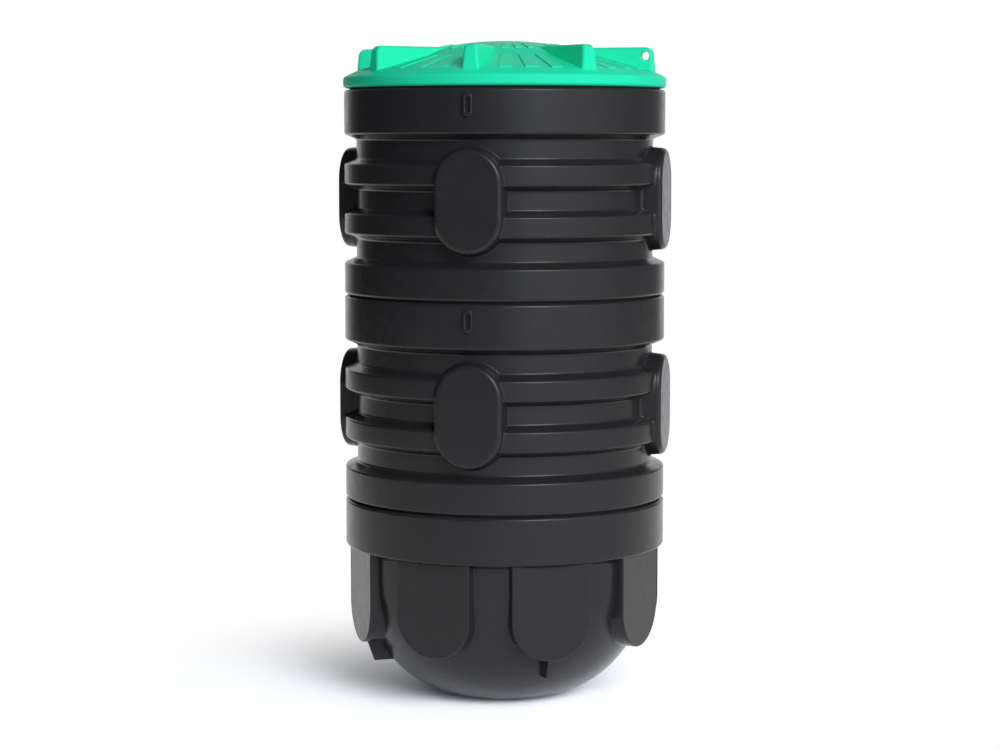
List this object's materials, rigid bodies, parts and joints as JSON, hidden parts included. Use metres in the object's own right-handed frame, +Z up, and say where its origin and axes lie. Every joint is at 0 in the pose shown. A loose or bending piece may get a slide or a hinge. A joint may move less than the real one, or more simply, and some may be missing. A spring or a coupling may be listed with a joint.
{
  "type": "drain inspection chamber",
  "caption": "Round plastic drain inspection chamber: dished sump, stacked ribbed shaft rings with flat pipe-entry pads, and a domed finned lift-off lid.",
  "frame": {"origin": "centre of the sump's flat bottom, on the floor", "axes": "+Z up along the shaft; -Y and +X square to two of the rings' pipe-entry pads, with the rings' lugs on -Y and the lid's lock eye on +X"},
  "size_m": [0.82, 0.82, 1.637],
  "materials": {
    "black_polyethylene": "satin",
    "green_polyethylene": "satin",
    "seal_rubber": "matte"
  },
  "bodies": {
    "chamber": {"base_sump": "black_polyethylene", "base_joint_seal": "seal_rubber", "lower_ring": "black_polyethylene", "ring_joint_seal": "seal_rubber", "upper_ring": "black_polyethylene", "lid_seal": "seal_rubber"},
    "lid": {"lid": "green_polyethylene"}
  },
  "joints": [
    {"name": "lid_lift", "type": "slide", "parent": "chamber", "child": "lid", "axis": [0, 0, 1], "range_m": [0, 0.3]}
  ]
}
